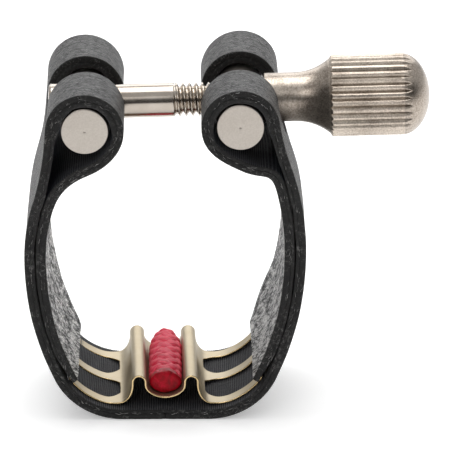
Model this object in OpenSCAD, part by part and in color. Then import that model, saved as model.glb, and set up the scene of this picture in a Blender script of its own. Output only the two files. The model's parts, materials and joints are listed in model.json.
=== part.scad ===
// Soft ligature for a saxophone mouthpiece.
// A leather strip folded into two loops, two cross barrels, a stud with a thumb nut,
// and a gilt reed plate with a cord in its channel.
// +X runs towards the thumb knob, +Y along the mouthpiece, +Z up from the flat underside.

/* [Strip] */
// Thickness of the leather skin
skin_t = 0.75; // [0.6:0.05:0.85]
// Thickness of the ribbed textile on its back
lining_t = 0.5; // [0.4:0.05:0.55]
// Thickness of the adhesive between the two layers of a side
bond_t = 0.1; // [0.08:0.01:0.14]
// Front edge of the strip at the bottom and sides
strip_front = -10; // [-10.5:0.1:-9]
// Back edge of the strip at the bottom and sides
strip_back = 9.8; // [9:0.1:10.5]
// Front edge of the strip at the loops
loop_front = -11.6; // [-12.5:0.1:-11]
// Back edge of the strip at the loops
loop_back = 12.5; // [12:0.1:13]
// Height where the strip starts to widen
flare_low = 22; // [18:1:24]
// Height where the strip has its full width
flare_high = 33.5; // [30:0.5:34]
// Outer radius of each loop
loop_r = 4.7; // [4.6:0.05:4.8]
// Height of the lower end of each loop's slot
slot_low = 34.3; // [34:0.1:34.5]
// Gap in the strip at each flex line
flex_gap = 0.2; // [0.18:0.01:0.26]

/* [Left side] */
// Half of the flat underside, from the middle to the left corner
left_flat = 5.2; // [5:0.1:5.4]
// Radius of the left lower corner
left_corner_r = 9.2; // [9:0.1:9.4]
// Turn of the left lower corner, in degrees
left_corner_turn = 65; // [64.5:0.1:65.5]
// Radius of the lower left side, which turns until it is upright
left_side_r = 36.5; // [36:0.1:37]
// Radius of the upper left side, which leans inward
left_upper_r = 25.2; // [25:0.1:25.5]
// Turn of the upper left side
left_upper_turn = 17; // [16.5:0.1:17.5]
// Radius of the left neck, which bends back under the loop
left_neck_r = 39.9; // [39:0.1:41]
// Turn of the left neck
left_neck_turn = 14.2; // [14:0.1:14.5]
// Depth of the fold below the left barrel's axis
left_fold_drop = 5.6; // [5.4:0.05:5.7]
// Direction of the strip at the fold's low point, in degrees
left_fold_heading = 337; // [334:1:340]
// Turn of the left corner beyond the flap's end
left_flap = 11; // [9:0.5:12]
// Front end of the left loop's slot
left_slot_front = -2.4; // [-2.8:0.1:-2.4]
// Back end of the left loop's slot
left_slot_back = 3.5; // [3:0.1:4]

/* [Right side] */
// Half of the flat underside, from the middle to the right corner
right_flat = 5.3; // [5.1:0.1:5.5]
// Radius of the right lower corner
right_corner_r = 9.1; // [8.9:0.1:9.3]
// Turn of the right lower corner
right_corner_turn = 65.4; // [65:0.1:66]
// Radius of the lower right side
right_side_r = 39; // [38.5:0.1:39.5]
// Radius of the upper right side
right_upper_r = 35.9; // [35.5:0.1:36.2]
// Turn of the upper right side
right_upper_turn = 19.1; // [18.8:0.1:19.4]
// Radius of the right neck
right_neck_r = 31.1; // [30.5:0.1:31.5]
// Turn of the right neck
right_neck_turn = 10.4; // [10:0.1:10.8]
// Depth of the fold below the right barrel's axis
right_fold_drop = 5.4; // [5.3:0.05:5.6]
// Direction of the strip at that fold's low point
right_fold_heading = 335; // [332:1:338]
// Turn of the right corner beyond the flap's end
right_flap = 10.5; // [9:0.5:12]
// Front end of the right loop's slot, which is wider for the knob's neck
right_slot_front = -3.2; // [-3.5:0.1:-3.2]
// Back end of the right loop's slot
right_slot_back = 3.8; // [3.3:0.1:4.2]

/* [Clamp] */
// Diameter of both cross barrels
barrel_d = 5.7; // [5.5:0.05:5.8]
// Front face of the barrels
barrel_front = -11.2; // [-11.5:0.1:-10.8]
// Back face of the barrels
barrel_back = 12.1; // [11.5:0.1:12.3]
// Major diameter of the stud, a number 8 screw
stud_d = 4.12; // [4.05:0.01:4.16]
// Pitch of its thread, 32 turns to the inch
pitch = 0.794; // [0.79:0.001:0.8]
// Radial clearance of the stud in the knob and in the right barrel
run_gap = 0.06; // [0.03:0.01:0.09]
// Diameter of the stud's head
head_d = 4.7; // [4.6:0.1:4.8]
// Distance from the left barrel's axis to the outer face of the head
head_reach = 4.5; // [4.3:0.1:4.6]
// Distance from the left barrel's axis to the start of the thread
thread_start = 10.8; // [10:0.1:11.2]
// Distance from the left barrel's axis to the stud's far end
stud_reach = 31; // [30:0.5:32]

/* [Thumb knob] */
// Diameter of the neck
neck_d = 5.95; // [5.8:0.05:6.1]
// Diameter over the knurl
knurl_d = 9.9; // [9.5:0.1:10.2]
// Number of flutes
flutes = 32; // [28:1:36]
// Length of the straight neck
neck_l = 3.4; // [3:0.1:3.8]
// Length of the concave flare
flare_l = 4.5; // [4.2:0.1:4.8]
// Length of the knurled part
knurl_l = 8.9; // [8.6:0.1:9.2]
// Length of the domed end
dome_l = 3.4; // [3.1:0.1:3.7]
// Depth of the knob's bore from its neck face
bore_l = 15.6; // [15:0.1:16.5]

/* [Reed plate] */
// Thickness of the gilt sheet
plate_t = 0.22; // [0.2:0.01:0.26]
// Front end of the plate
plate_front = -8.6; // [-9:0.1:-8]
// Back end of the plate's ridges
plate_back = 8.5; // [8:0.1:9]
// Distance from the middle to each ridge
ridge_x = 3.2; // [3.15:0.05:3.25]
// Top of the ridges, where the reed lies
ridge_top = 5.2; // [5.1:0.05:5.4]
// Width of each prong
prong_w = 1.95; // [1.7:0.05:2.2]
// Middle of the middle prong
prong_middle_y = 0.2; // [0:0.1:0.4]
// Distance from the middle to the foot, where the sheet meets the lining
foot_x = 5.6; // [5.5:0.05:5.7]
// Distance from the middle to the windows between the prongs
window_x = 5.15; // [5.05:0.05:5.3]
// Height of the channel's low point under the sheet
channel_low = 2.2; // [2.1:0.05:2.3]

/* [Cord] */
// Width of the cord in the channel
cord_w = 3.8; // [3.6:0.1:4]
// Height of the cord
cord_h = 2.75; // [2.6:0.05:2.9]
// Thickness of the braided sheath
sheath_t = 0.55; // [0.4:0.05:0.7]
// Front end of the cord
cord_front = -7.6; // [-8:0.1:-7]
// Back end of the cord
cord_back = 8.1; // [7.5:0.1:8.4]
// Length of each fused tip
tip_l = 1.3; // [1:0.1:1.6]

/* [Hidden] */
$fn = 64;
FAR = 60;
ARC_STEP = 4;
LEATHER = [0.09, 0.09, 0.1];
TEXTILE = [0.13, 0.13, 0.15];
GLUE = [0.2, 0.19, 0.17];
SATIN_NICKEL = [0.76, 0.72, 0.68];
BRIGHT_NICKEL = [0.82, 0.79, 0.76];
GILT = [0.85, 0.76, 0.55];
CRIMSON = [0.72, 0.08, 0.2];
DARK_CRIMSON = [0.5, 0.02, 0.12];

ply_t = skin_t + lining_t;
side_t = 2 * ply_t + bond_t;
// Turn of the lower side past the corner at the flex line, in degrees
flex_turn = 5;
// Thickness of a side at the flap's end, where the lining is pared away
flap_end_t = 2.5;
// Lining left at the flap's end
pared_t = 0.02;
// Turn of the upper side where the two layers part below the loop
part_turn = 15;
// Heading where the fold leaves the loop's circle
fold_start = 295;
// Handles of the fold's curves, into the low point, out of it and at the joint
fold_in = 1.9;
fold_out = 2.9;
fold_end = 2.6;
// Radius at the lower corners of the slots
slot_r = 1.2;

// A side is [flat, corner, side radius, upper, neck, fold, flap, slot]
LEFT = [left_flat, [left_corner_r, left_corner_turn], left_side_r, [left_upper_r, left_upper_turn],
    [left_neck_r, left_neck_turn], [-0.2, -left_fold_drop, left_fold_heading], left_flap,
    [left_slot_front, left_slot_back]];
RIGHT = [right_flat, [right_corner_r, right_corner_turn], right_side_r, [right_upper_r, right_upper_turn],
    [right_neck_r, right_neck_turn], [0.1, -right_fold_drop, right_fold_heading], right_flap,
    [right_slot_front, right_slot_back]];

// Barrels and stud: edge chamfer, seat of the head from the barrel's axis, thread depth and crest
barrel_chamfer = 0.15;
head_seat = 1.75;
head_gap = 0.1;
stud_seat_gap = 0.03;
thread_root = stud_d / 2 - 0.6 * pitch;
thread_crest = pitch / 8;
// Knob: depth of a flute, its width as a part of one step round, and its run past the grip
flute_depth = 0.32;
flute_share = 0.72;
flute_run = 0.4;
// How quickly the flare opens, and how blunt the dome is
flare_power = 2.4;
// Reed plate: bend radius of a ridge on the sheet's middle line, and the foot's underside
ridge_r = 0.9 - plate_t / 2;
foot_z = 1.45;
// Straight part of a ridge's flanks above their curves
ridge_flank = 0.35;
// Gap between the prongs and the lining
prong_gap = 0.03;
// Turn of the corner where a prong lies down on the lining, and its reach under the flap
prong_land = 30;
prong_reach = 5;
// Slope of a window's ends towards the ridge, across and along
window_inset = 1.3;
window_slope = 1.9;
// Adhesive bead under the cord
bead_w = 0.9;

// --- Strip outlines -------------------------------------------------------------------
// A station is [u, z, heading]: u outward from the middle, heading 0 outward and 90 up.
// The skin's outer face runs along the stations and the strip lies on their left.
function inward(s, t) = [s[0] - t * sin(s[2]), s[1] + t * cos(s[2])];
// Station reached from s along an arc of radius r that turns by a (negative turns back)
function arc_end(s, r, a) =
    let (k = sign(a) * r)
    [s[0] + k * (sin(s[2] + a) - sin(s[2])), s[1] - k * (cos(s[2] + a) - cos(s[2])), s[2] + a];
// Stations along such an arc, both ends included
function arc(s, r, a) =
    let (n = max(2, ceil(abs(a) / ARC_STEP)))
    [for (i = [0:n]) arc_end(s, r, a * i / n)];
// Stations along a cubic curve between two stations with the given handle lengths
function blend(a, b, ha, hb, n = 8) =
    let (p0 = [a[0], a[1]], p3 = [b[0], b[1]],
         p1 = p0 + ha * [cos(a[2]), sin(a[2])], p2 = p3 - hb * [cos(b[2]), sin(b[2])])
    [for (i = [0:n])
        let (t = i / n, w = 1 - t,
             p = w * w * w * p0 + 3 * w * w * t * p1 + 3 * w * t * t * p2 + t * t * t * p3,
             d = w * w * (p1 - p0) + 2 * w * t * (p2 - p1) + t * t * (p3 - p2))
        [p[0], p[1], (atan2(d[1], d[0]) + 360) % 360]];
// The same stations walked the other way, shifted inward by t1 at the first and t0 at the last
function turned(list, t1, t0) =
    let (n = len(list) - 1)
    [for (i = [n:-1:0])
        let (p = inward(list[i], t0 + (t1 - t0) * i / n))
        [p[0], p[1], list[i][2] + 180]];
// Without the first station, to join two lists that share one
function rest(list) = [for (i = [1:len(list) - 1]) list[i]];
// Outline of a layer between depths a and b, which may differ at the two ends
function layer(list, a, b, a_end, b_end) =
    let (n = len(list) - 1)
    concat([for (i = [0:n]) inward(list[i], a + (a_end - a) * i / n)],
           [for (i = [n:-1:0]) inward(list[i], b + (b_end - b) * i / n)]);

// Named stations of a side
function corner_start(s) = [s[0], 0, 0];
function side_start(s) = arc_end(corner_start(s), s[1][0], s[1][1]);
function flap_station(s) = arc_end(corner_start(s), s[1][0], s[1][1] - s[6]);
function flex_station(s, gap = 0) = arc_end(side_start(s), s[2], flex_turn + gap / s[2] * 180 / PI);
function upper_start(s) = arc_end(side_start(s), s[2], 90 - s[1][1]);
function part_station(s) = arc_end(upper_start(s), s[3][0], part_turn);
function neck_start(s) = arc_end(upper_start(s), s[3][0], s[3][1]);
function loop_start(s) = arc_end(neck_start(s), s[4][0], -s[4][1]);
// Barrel axis and flex axis of a side, in u and z
function barrel_at(s) = inward(loop_start(s), loop_r);
function flex_at(s) = inward(flex_station(s), side_t / 2);

// From the middle of the underside up to the flex line
function bottom_run(s) =
    let (f = flex_station(s, -flex_gap / 2))
    concat([[0, 0, 0]], arc(corner_start(s), s[1][0], s[1][1]),
           rest(arc(side_start(s), s[2], f[2] - s[1][1])));
// The outer layer from the flex line to where the layers part
function side_run(s) =
    let (f = flex_station(s, flex_gap / 2))
    concat(arc(f, s[2], 90 - f[2]), rest(arc(upper_start(s), s[3][0], part_turn)));
// On round the loop to the fold and back down to where the layers meet again
function loop_run(s) =
    let (c = barrel_at(s), from = loop_start(s), p = part_station(s), fold = s[5],
         low = [c[0] + fold[0], c[1] + fold[1], fold[2]],
         joint = inward(p, side_t), off = arc_end(from, loop_r, fold_start - from[2]))
    concat(rest(arc(p, s[3][0], s[3][1] - part_turn)), rest(arc(neck_start(s), s[4][0], -s[4][1])),
           rest(arc(from, loop_r, fold_start - from[2])), rest(blend(off, low, fold_in, fold_in)),
           rest(blend(low, [joint[0], joint[1], p[2] + 180], fold_out, fold_end)));
// The whole strip of a side above the flex line
function arm_run(s) = concat(side_run(s), loop_run(s), rest(turned(side_run(s), side_t, side_t)));
// The end of the flap below the flex line, walked downward
function flap_arc(s) =
    concat(arc(flap_station(s), s[1][0], s[6]),
           rest(arc(side_start(s), s[2], flex_station(s, -flex_gap / 2)[2] - s[1][1])));
function flap_run(s) = turned(flap_arc(s), side_t, flap_end_t);

// --- Solids cut from the strip --------------------------------------------------------
function smooth(t) = let (c = min(max(t, 0), 1)) c * c * (3 - 2 * c);
function edge(z, narrow, wide) =
    narrow + (wide - narrow) * smooth((z - flare_low) / (flare_high - flare_low));
// Width of the strip at each height, seen from the side
module strip_width() {
    heights = [-1, for (i = [0:12]) flare_low + (flare_high - flare_low) * i / 12, FAR];
    last = len(heights) - 1;
    polygon(concat([for (i = [0:last]) [edge(heights[i], strip_front, loop_front), heights[i]]],
                   [for (i = [last:-1:0]) [edge(heights[i], strip_back, loop_back), heights[i]]]));
}
// Prism along Y between two planes, from an outline in X and Z
module along_y(front, back) {
    translate([0, back, 0]) rotate([90, 0, 0]) linear_extrude(back - front) children();
}
// Prism along X across the whole object, from an outline in Y and Z
module along_x() {
    translate([-FAR / 2, 0, 0]) rotate([90, 0, 90]) linear_extrude(FAR) children();
}
// The values of a side, which is -1 left or 1 right
function side_of(side) = side < 0 ? LEFT : RIGHT;
// An outline or a solid drawn for the right, on its own side
module on_side(side) {
    if (side < 0) mirror([1, 0, 0]) children();
    else children();
}
// The child outline as a piece of strip with its true width
module strip_piece(side) {
    intersection() {
        along_y(loop_front, loop_back) on_side(side) children();
        along_x() strip_width();
    }
}
// Slot through a loop, open at the top, with a round lower end
module loop_slot(side, span) {
    r = slot_r;
    x0 = side < 0 ? -FAR / 2 : 0;
    translate([x0, 0, 0]) rotate([90, 0, 90]) linear_extrude(FAR / 2) union() {
        translate([span[0], slot_low + r]) square([span[1] - span[0], FAR / 3]);
        translate([span[0] + r, slot_low]) square([span[1] - span[0] - 2 * r, 2 * r]);
        translate([span[0] + r, slot_low + r]) circle(r);
        translate([span[1] - r, slot_low + r]) circle(r);
    }
}
// One layer of the strip above the flex line
module arm_layer(side, a, b) {
    difference() {
        strip_piece(side) polygon(layer(arm_run(side_of(side)), a, b, a, b));
        loop_slot(side, side_of(side)[7]);
    }
}
// One layer of the underside, across both corners
module bottom_layer(a, b) {
    for (side = [-1, 1]) strip_piece(side) polygon(layer(bottom_run(side_of(side)), a, b, a, b));
}

// The flap ends below the flex lines; a layer may thin towards the end
module flap_ends(a, b, b_end) {
    for (side = [-1, 1]) strip_piece(side) polygon(layer(flap_run(side_of(side)), a, b, a, b_end));
}
// Adhesive between the two layers of a side
module side_bond(side) {
    strip_piece(side)
        polygon(layer(side_run(side_of(side)), ply_t, ply_t + bond_t, ply_t, ply_t + bond_t));
}

module band_bottom() {
    color(LEATHER) {
        union() bottom_layer(0, skin_t);
        flap_ends(0, skin_t, skin_t);
    }
}
module band_left() {
    color(LEATHER) arm_layer(-1, 0, skin_t);
}
module band_right() {
    color(LEATHER) arm_layer(1, 0, skin_t);
}
module lining_bottom() {
    color(TEXTILE) {
        union() bottom_layer(skin_t, ply_t);
        flap_ends(skin_t, ply_t, skin_t + pared_t);
    }
}
module lining_left() {
    color(TEXTILE) arm_layer(-1, skin_t, ply_t);
}
module lining_right() {
    color(TEXTILE) arm_layer(1, skin_t, ply_t);
}
module bond_left() {
    color(GLUE) side_bond(-1);
}
module bond_right() {
    color(GLUE) side_bond(1);
}
// Adhesive under the upper half of each flap end, above the prong tips
module flap_end_bond() {
    color(GLUE) for (side = [-1, 1]) {
        run = flap_arc(side_of(side));
        n = len(run) - 1;
        top = inward(run[n], ply_t);
        low = inward(run[n - 1], ply_t);
        deep = ply_t + bond_t - 0.01;
        spread = (flap_end_t - skin_t - pared_t - ply_t - bond_t) / n;
        under = inward(run[n - 1], deep + spread);
        strip_piece(side) polygon([low, top, inward(run[n], deep), under]);
    }
}

// --- Clamp ----------------------------------------------------------------------------
left_axis = [-barrel_at(LEFT)[0], barrel_at(LEFT)[1]];
right_axis = [barrel_at(RIGHT)[0], barrel_at(RIGHT)[1]];
barrel_gap = norm(right_axis - left_axis);
stud_tilt = atan2(right_axis[1] - left_axis[1], right_axis[0] - left_axis[0]);
// Neck face of the knob, from the left barrel's axis
knob_face = barrel_gap + barrel_d / 2 + 0.04;

// Places its children on the stud's axis: +Z along the stud, origin on the left barrel's axis
module on_stud() {
    translate([left_axis[0], 0, left_axis[1]]) rotate([0, 90 - stud_tilt, 0]) children();
}
module barrel_body() {
    translate([0, barrel_back, 0]) rotate([90, 0, 0]) rotate_extrude() {
        r = barrel_d / 2;
        l = barrel_back - barrel_front;
        c = barrel_chamfer;
        polygon([[0, 0], [r - c, 0], [r, c], [r, l - c], [r - c, l], [0, l]]);
    }
}
module left_barrel() {
    color(SATIN_NICKEL) difference() {
        translate([left_axis[0], 0, left_axis[1]]) barrel_body();
        on_stud() translate([0, 0, -barrel_d]) cylinder(h = 2 * barrel_d, d = stud_d + stud_seat_gap);
        on_stud() translate([0, 0, -barrel_d]) cylinder(h = barrel_d - head_seat, d = head_d + head_gap);
    }
}
module right_barrel() {
    color(SATIN_NICKEL) difference() {
        translate([right_axis[0], 0, right_axis[1]]) barrel_body();
        on_stud() translate([0, 0, barrel_gap - barrel_d])
            cylinder(h = 2 * barrel_d, d = stud_d + 2 * run_gap);
    }
}
// Groove to groove outline of one turn of the thread
function thread_ring(z) = [
    [thread_root, z - pitch / 2 + thread_crest], [stud_d / 2, z - thread_crest / 2],
    [stud_d / 2, z + thread_crest / 2], [thread_root, z + pitch / 2 - thread_crest]];
module tension_stud() {
    r = stud_d / 2;
    turns = floor((stud_reach - thread_start - 1) / pitch);
    rings = [for (i = [0:turns - 1]) each thread_ring(thread_start + (i + 0.9) * pitch)];
    end_z = rings[len(rings) - 1][1];
    color(BRIGHT_NICKEL) on_stud() rotate_extrude() polygon(concat(
        [[0, -head_reach], [head_d / 2 - 0.4, -head_reach], [head_d / 2, -head_reach + 0.4],
         [head_d / 2, -head_seat - 0.02], [r, -head_seat - 0.02],
         [r, thread_start - 0.25], [thread_root, thread_start + 0.15]],
        rings, [[thread_root, end_z + 0.4], [thread_root - 0.4, end_z + 0.8], [0, end_z + 0.8]]));
}

// --- Thumb knob -----------------------------------------------------------------------
shoulder = neck_l + flare_l;
// Half outline of the knob along its axis, over the knurl's crests
function knob_outline() =
    let (neck_r = neck_d / 2, crest_r = knurl_d / 2, root_r = crest_r - flute_depth,
         dome_z = shoulder + knurl_l, rim = 0.2)
    concat([[neck_r - rim, 0], [neck_r, rim]],
        [for (i = [0:10]) [neck_r + (root_r - rim - neck_r) * pow(i / 10, flare_power),
                           neck_l + flare_l * i / 10]],
        [[crest_r, shoulder + flute_run + 0.1]],
        [for (i = [0:9]) [crest_r * cos(i * 9.5), dome_z + dome_l * sin(i * 9.5)]],
        [[0, dome_z + dome_l]]);
module thumb_knob() {
    color(SATIN_NICKEL) on_stud() translate([0, 0, knob_face]) difference() {
        rotate_extrude() polygon(concat([[0, 0]], knob_outline()));
        for (i = [0:flutes - 1]) rotate(i * 360 / flutes) flute();
        translate([0, 0, -1]) cylinder(h = bore_l + 1, d = stud_d + 2 * run_gap);
    }
}
// V groove of the straight knurl, running the length of the grip
module flute() {
    half = PI * knurl_d / flutes * flute_share / 2;
    over_r = knurl_d / 2 + 0.1;
    translate([0, 0, shoulder - flute_run]) linear_extrude(knurl_l + flute_run + dome_l)
        polygon([[knurl_d / 2 - flute_depth, 0], [over_r, -half], [over_r, half]]);
}

// --- Reed plate -----------------------------------------------------------------------
foot = [foot_x, foot_z + plate_t / 2, 355];
// Middle line of the sheet from the channel's low point over a ridge to the foot
function plate_middle() =
    let (m = plate_t / 2, top = ridge_top - m - ridge_r,
         inner = [ridge_x - ridge_r, top - ridge_flank, 90],
         outer = [ridge_x + ridge_r, top - ridge_flank, 270])
    concat(blend([0, channel_low + m, 0], inner, 1.15, 0.9, 8), [[inner[0], top, 90]],
        [for (i = [1:6]) [ridge_x - ridge_r * cos(i * 30), top + ridge_r * sin(i * 30), 90 - i * 30]],
        rest(blend(outer, foot, 1.1, 1.0, 6)));
// Prong line of a side: out of the foot, along the lining and in under the flap's end
function prong_middle(s) =
    let (lift = ply_t + prong_gap + plate_t / 2, tip_turn = s[1][1] - s[6] + prong_reach,
         land = arc_end(corner_start(s), s[1][0], prong_land), on = inward(land, lift))
    concat(blend(foot, [on[0], on[1], prong_land], 1.4, 1.6, 6),
        rest([for (p = arc(land, s[1][0], tip_turn - prong_land)) [each inward(p, lift), p[2]]]));
function sheet(list) = layer(list, -plate_t / 2, plate_t / 2, -plate_t / 2, plate_t / 2);
// Gap between two prongs, seen from above, narrowing towards the ridge
module prong_window(low, high) {
    in = window_inset;
    cut = 0.4;
    x = window_x;
    translate([0, 0, -1]) linear_extrude(ridge_top) polygon([
        [x, low + in + cut], [x + cut, low + in], [x + window_slope, low], [FAR / 3, low],
        [FAR / 3, high], [x + window_slope, high], [x + cut, high - in], [x, high - in - cut]]);
}
module plate_side(side) {
    middle_front = prong_middle_y - prong_w / 2;
    line = concat(plate_middle(), rest(prong_middle(side_of(side))));
    on_side(side) difference() {
        along_y(plate_front, plate_back) polygon(sheet(line));
        prong_window(plate_front + prong_w, middle_front);
        prong_window(middle_front + prong_w, plate_back - prong_w);
    }
}
module reed_plate() {
    color(GILT) union() {
        plate_side(-1);
        plate_side(1);
    }
}

// --- Cord -----------------------------------------------------------------------------
cord_z = channel_low + plate_t + 0.06 + cord_h / 2;
function oval(w, h) = [for (i = [0:35]) [w / 2 * cos(i * 10), h / 2 * sin(i * 10)]];
module cord_oval(front, back, inset = 0) {
    along_y(front, back) translate([0, cord_z]) polygon(oval(cord_w - 2 * inset, cord_h - 2 * inset));
}
module cord_sheath() {
    color(CRIMSON) difference() {
        cord_oval(cord_front + tip_l, cord_back - tip_l);
        cord_oval(cord_front, cord_back, sheath_t);
    }
}
module cord_core() {
    color([0.85, 0.8, 0.78]) cord_oval(cord_front + tip_l, cord_back - tip_l, sheath_t);
}
// Fused end, rounded towards its outer face in three steps
module fused_tip(base, outward, blunt) {
    steps = 3;
    for (i = [0:steps - 1]) {
        inset = blunt * (1 - sqrt(1 - pow((i + 0.4) / steps, 2)));
        start = i == 0 ? 0.005 : tip_l * i / steps - 0.02;
        y0 = base + outward * start;
        y1 = base + outward * tip_l * (i + 1) / steps;
        cord_oval(min(y0, y1), max(y0, y1), inset + 0.02);
    }
}
module cord_front_tip() {
    color(DARK_CRIMSON) union() fused_tip(cord_front + tip_l, -1, 0.5);
}
module cord_back_tip() {
    color(DARK_CRIMSON) union() fused_tip(cord_back - tip_l, 1, 1.2);
}
// Bead of adhesive between the cord and the channel
module cord_bond() {
    color(GLUE) along_y(cord_front + tip_l, cord_back - tip_l) difference() {
        translate([-bead_w / 2, channel_low + plate_t / 2]) square([bead_w, 0.5]);
        translate([0, cord_z]) polygon(oval(cord_w + 0.02, cord_h + 0.02));
        for (side = [-1, 1]) on_side(side) polygon(concat(sheet(plate_middle()), [[0, 0]]));
    }
}

band_bottom();
band_left();
band_right();
lining_bottom();
lining_left();
lining_right();
bond_left();
bond_right();
flap_end_bond();
left_barrel();
right_barrel();
tension_stud();
thumb_knob();
reed_plate();
cord_sheath();
cord_core();
cord_front_tip();
cord_back_tip();
cord_bond();
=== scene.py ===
import json
import math
import random
from types import SimpleNamespace

import bmesh
import bpy
import numpy as np
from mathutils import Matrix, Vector, noise


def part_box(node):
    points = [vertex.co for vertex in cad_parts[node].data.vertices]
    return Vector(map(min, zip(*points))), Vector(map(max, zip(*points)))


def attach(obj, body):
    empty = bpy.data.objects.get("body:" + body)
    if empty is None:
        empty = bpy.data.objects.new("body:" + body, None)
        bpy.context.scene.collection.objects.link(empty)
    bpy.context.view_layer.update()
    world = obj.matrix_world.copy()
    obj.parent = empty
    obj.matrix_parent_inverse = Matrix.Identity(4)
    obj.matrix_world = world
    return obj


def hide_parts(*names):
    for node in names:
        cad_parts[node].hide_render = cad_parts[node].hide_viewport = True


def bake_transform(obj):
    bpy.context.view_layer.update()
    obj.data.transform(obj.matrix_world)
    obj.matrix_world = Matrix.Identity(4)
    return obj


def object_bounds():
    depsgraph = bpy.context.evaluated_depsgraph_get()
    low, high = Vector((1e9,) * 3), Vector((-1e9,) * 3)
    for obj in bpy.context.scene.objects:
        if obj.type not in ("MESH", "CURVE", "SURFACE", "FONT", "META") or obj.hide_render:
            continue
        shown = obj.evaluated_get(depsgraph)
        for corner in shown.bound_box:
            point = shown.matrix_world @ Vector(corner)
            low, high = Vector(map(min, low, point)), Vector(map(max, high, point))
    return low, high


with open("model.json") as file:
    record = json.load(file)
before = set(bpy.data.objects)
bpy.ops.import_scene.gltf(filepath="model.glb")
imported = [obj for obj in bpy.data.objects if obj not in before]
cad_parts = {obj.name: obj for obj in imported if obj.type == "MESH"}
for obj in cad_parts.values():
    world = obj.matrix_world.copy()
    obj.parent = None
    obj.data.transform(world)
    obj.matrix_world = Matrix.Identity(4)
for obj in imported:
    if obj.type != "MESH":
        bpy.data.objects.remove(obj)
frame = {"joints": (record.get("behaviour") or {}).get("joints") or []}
cad_low, cad_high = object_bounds()
random.seed(7)

# Lengths are in millimetres until a mesh is made. The strip is drawn on a path in the X-Z plane: u is the
# distance from the middle plane, s the length along the path, and y the place across the strip, with its
# front at the low end. Arcs are (radius, turn in degrees).
MM = 0.001
TAU = 2 * math.pi

# --- The strip, as in the CAD part ---
SKIN = 0.75  # leather
PLY = 1.25  # leather and lining
SIDE = 2.6  # both layers of a side and the glue
FLAP_END = 2.5  # the same at the flap's end
LOOP_R = 4.7
PART_TURN = 15  # turn of the upper arc at which the layers part
FOLD_START = 295  # heading at which the loop's arc ends
SLOT_LOW = 34.3
SLOT_R = 1.2
# Heights between which the strip widens from STRIP_Y to LOOP_Y.
FLARE = (22.0, 33.5)
STRIP_Y = (-10.0, 9.8)
LOOP_Y = (-11.6, 12.5)

# fold is the low point of the fold, from the loop's centre, and its heading. flap is the turn that the
# flap's end covers. slot is the opening across the strip. end_r rounds the flap's back corner, and lean
# is how far the back of the loop stands out: those two are in the visual model only.
LEFT = SimpleNamespace(tag="left", sign=-1, flat=5.2, corner=(9.2, 65), lower_r=36.5, upper=(25.2, 17),
                       neck=(39.9, 14.2), fold=(-0.2, -5.6, 337), flap=11, slot=(-2.4, 3.5),
                       end_r=1.6, lean=0.28)
RIGHT = SimpleNamespace(tag="right", sign=1, flat=5.3, corner=(9.1, 65.4), lower_r=39, upper=(35.9, 19.1),
                        neck=(31.1, 10.4), fold=(0.1, -5.4, 335), flap=10.5, slot=(-3.2, 3.8),
                        end_r=0.4, lean=0.2)

# --- The strip, in the visual model only ---
RIB = 0.285
ROW_STEP = 0.27
LOOP_LINING = 0.3
OUTER_LINING = 0.2
UNEVEN = 0.05
# How far the back edge is drawn in, at what height, and over what height.
RIGHT_BACK = (1.0, 31.0, 5.0)
RIGHT_FLAP_BACK = (0.6, 9.5, 3.4)
GLUE_SET_BACK = 0.2
FIBRES = 240
FIBRE_TAPER = np.array([0.5, 1, 1, 1, 0.9, 0.7, 0.35])

# --- Clamp ---
PITCH = 0.794
THREAD_DEPTH = 0.6 * PITCH
CREST = PITCH / 8
FLANK = (PITCH - 2 * CREST) / 2
STUD_R = 2.06
STUD_PAST_GAP = 11.2
THREAD_START = 10.8
HEAD_R = 2.35
HEAD_EDGE = 0.35
HEAD_SEAT = 1.75
HEAD_REACH = 4.5
BARREL_R = 2.85
BARREL_EDGE = 0.13
DRILL_FROM = 8
NECK_R = 2.975
NECK_EDGE = 0.25
KNURL_R = 4.95
FLUTES = 32
FLUTE_DEPTH = 0.32
FLUTE_HALF = 0.36
NECK_L, FLARE_L, KNURL_L, DOME_L = 3.4, 4.5, 8.9, 3.4
SHOULDER = NECK_L + FLARE_L
DOME = SHOULDER + KNURL_L
BORE_L = 15.6
BORE_R = STUD_R + 0.06

# --- Reed plate ---
PLATE_T = 0.22
RIDGE_X, RIDGE_R, RIDGE_TOP = 3.2, 0.9, 5.2
RIDGE_STRAIGHT = 0.35
CHANNEL_LOW = 2.2
FOOT = (5.6, 1.45)
FOOT_HEADING = 355
LAND_TURN = 30
TIP_TURN = 5
TIP_R = 0.35
PRONG_W = 1.95
PRONG_MID = 0.2
PRONG_GAP = 0.03
WINDOW_X = {-1: 5.45, 1: 4.95}
WINDOW_R = 0.75
WINDOW_SLOPE = 1.9
PLATE_LEAN = 0.024

# --- Cord ---
LAY = 7.8
STRANDS = 4
STRAND_PHASE = 0.122
STRAND_T = 0.30
STRAND_HALF_W = 0.86
STRAND_CURL = 0.24
WEAVE = 0.15
STRAND_SIDES = 26


def sind(a):
    return math.sin(math.radians(a))


def cosd(a):
    return math.cos(math.radians(a))


def smooth(t):
    t = np.clip(t, 0, 1)
    return t * t * (3 - 2 * t)


# --- Paths: lists of stations (u, z, heading in degrees) ---
def arc_end(s, r, a):
    k = math.copysign(r, a)
    return (s[0] + k * (sind(s[2] + a) - sind(s[2])), s[1] - k * (cosd(s[2] + a) - cosd(s[2])), s[2] + a)


def arc(s, r, a):
    n = max(2, math.ceil(abs(a)))
    return [arc_end(s, r, a * i / n) for i in range(n + 1)]


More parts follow.
